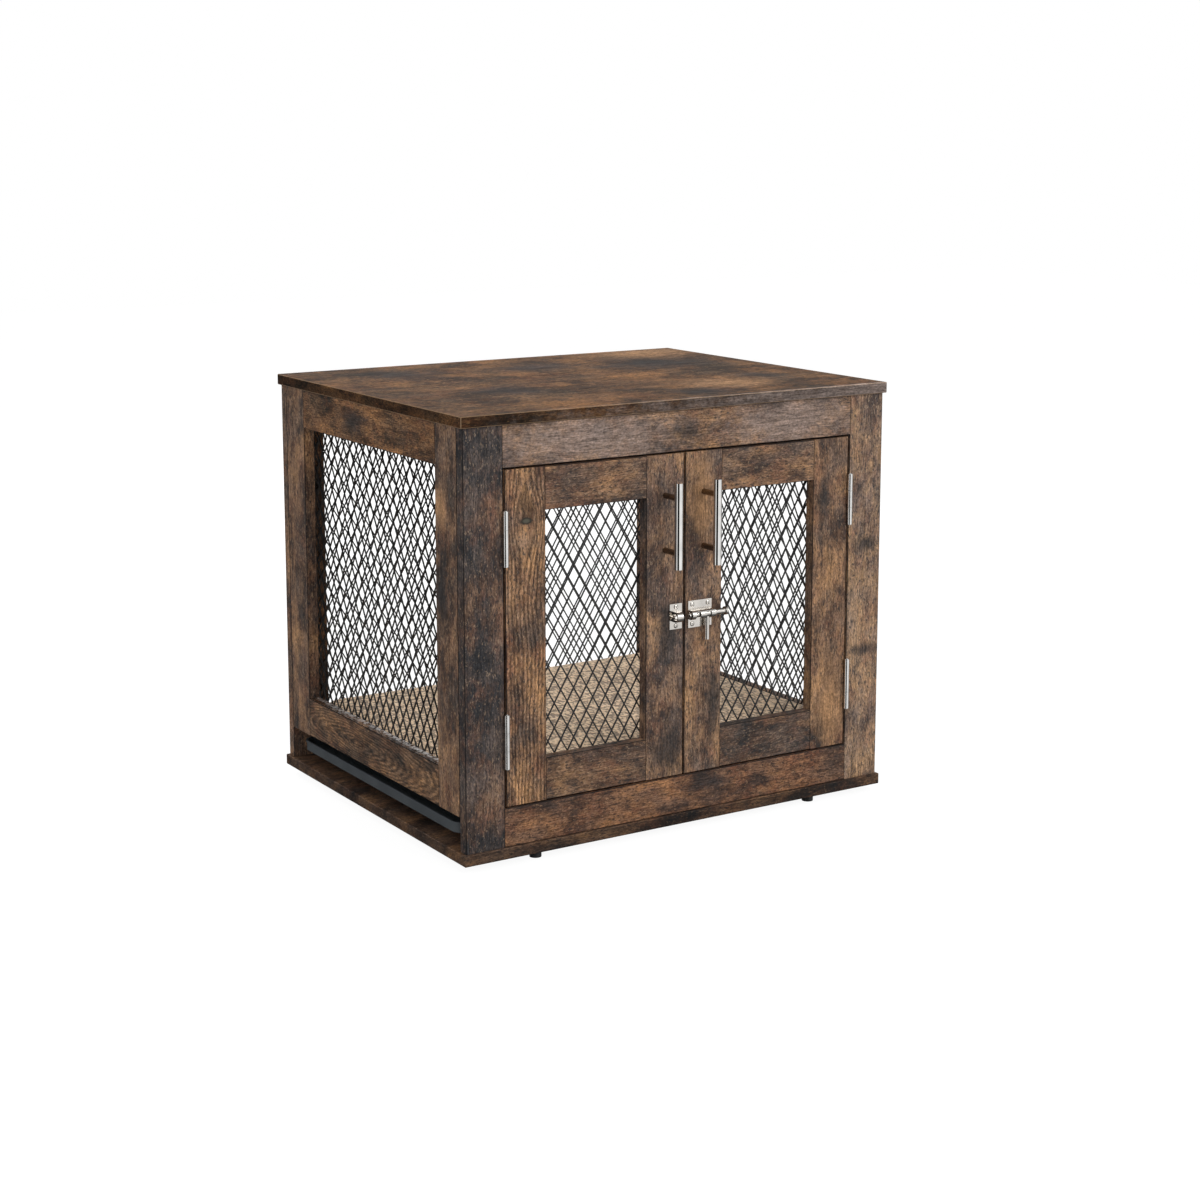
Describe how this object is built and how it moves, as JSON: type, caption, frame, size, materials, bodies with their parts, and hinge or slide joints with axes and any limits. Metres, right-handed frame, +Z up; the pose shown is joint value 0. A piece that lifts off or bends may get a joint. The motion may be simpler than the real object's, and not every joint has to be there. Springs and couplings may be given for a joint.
{
  "type": "pet crate",
  "caption": "Furniture-style wooden pet crate with black diamond wire sides, double doors, barrel bolt, bar handles, floor mat and pull-out tray",
  "frame": {"origin": "on the ground under the centre of the overall box, which includes the door handles", "axes": "+X to the crate's own right as seen from its front, +Y to its back, +Z up; the doors face -Y and the tray comes out at -X"},
  "size_m": [0.59, 0.504, 0.514],
  "materials": {
    "rustic_wood": "satin rustic brown laminate with charcoal and orange patches and fine grain",
    "black_wire": "satin black powder coat",
    "polished_steel": "polished",
    "nickel": "brushed nickel plate",
    "tray_metal": "satin blue-grey paint",
    "mat_fabric": "woven beige cloth with dark flecks",
    "black_plastic": "matt"
  },
  "bodies": {
    "crate": {"top_panel": "rustic_wood", "base_panel": "rustic_wood", "floor_panel": "rustic_wood", "front_runner": "rustic_wood", "rear_runner": "rustic_wood", "front_left_post": "rustic_wood", "front_right_post": "rustic_wood", "front_head_rail": "rustic_wood", "front_sill": "rustic_wood", "back_left_post": "rustic_wood", "back_right_post": "rustic_wood", "back_head_rail": "rustic_wood", "back_sill": "rustic_wood", "left_front_stile": "rustic_wood", "left_rear_stile": "rustic_wood", "left_top_rail": "rustic_wood", "left_bottom_rail": "rustic_wood", "right_front_stile": "rustic_wood", "right_rear_stile": "rustic_wood", "right_top_rail": "rustic_wood", "right_bottom_rail": "rustic_wood", "left_side_mesh": "black_wire", "right_side_mesh": "black_wire", "back_mesh": "black_wire", "left_hinge_post_leaves": "nickel", "left_hinge_pins": "nickel", "right_hinge_post_leaves": "nickel", "right_hinge_pins": "nickel", "floor_mat": "mat_fabric", "feet": "black_plastic"},
    "left_door": {"left_door_hinge_stile": "rustic_wood", "left_door_lock_stile": "rustic_wood", "left_door_top_rail": "rustic_wood", "left_door_bottom_rail": "rustic_wood", "left_door_mesh": "black_wire", "left_handle_bar": "polished_steel", "left_handle_posts": "polished_steel", "left_handle_screws": "nickel", "left_hinge_door_leaves": "nickel", "latch_keeper": "nickel"},
    "right_door": {"right_door_hinge_stile": "rustic_wood", "right_door_lock_stile": "rustic_wood", "right_door_top_rail": "rustic_wood", "right_door_bottom_rail": "rustic_wood", "right_door_mesh": "black_wire", "right_handle_bar": "polished_steel", "right_handle_posts": "polished_steel", "right_handle_screws": "nickel", "right_hinge_door_leaves": "nickel", "latch_plate": "nickel"},
    "bolt": {"bolt_rod": "nickel"},
    "knob": {"bolt_knob": "nickel"},
    "tray": {"tray": "tray_metal"}
  },
  "joints": [
    {"name": "left_door_hinge", "type": "hinge", "parent": "crate", "child": "left_door", "pos_m": [-0.2403, -0.223, 0.26], "axis": [0, 0, -1], "range_deg": [0, 170]},
    {"name": "right_door_hinge", "type": "hinge", "parent": "crate", "child": "right_door", "pos_m": [0.2403, -0.223, 0.26], "axis": [0, 0, 1], "range_deg": [0, 170]},
    {"name": "bolt_slide", "type": "slide", "parent": "right_door", "child": "bolt", "axis": [-1, 0, 0], "range_m": [0, 0.015]},
    {"name": "bolt_turn", "type": "hinge", "parent": "bolt", "child": "knob", "pos_m": [0.0283, -0.2257, 0.26], "axis": [-1, 0, 0], "range_deg": [0, 90]},
    {"name": "tray_slide", "type": "slide", "parent": "crate", "child": "tray", "axis": [-1, 0, 0], "range_m": [0, 0.42]}
  ]
}
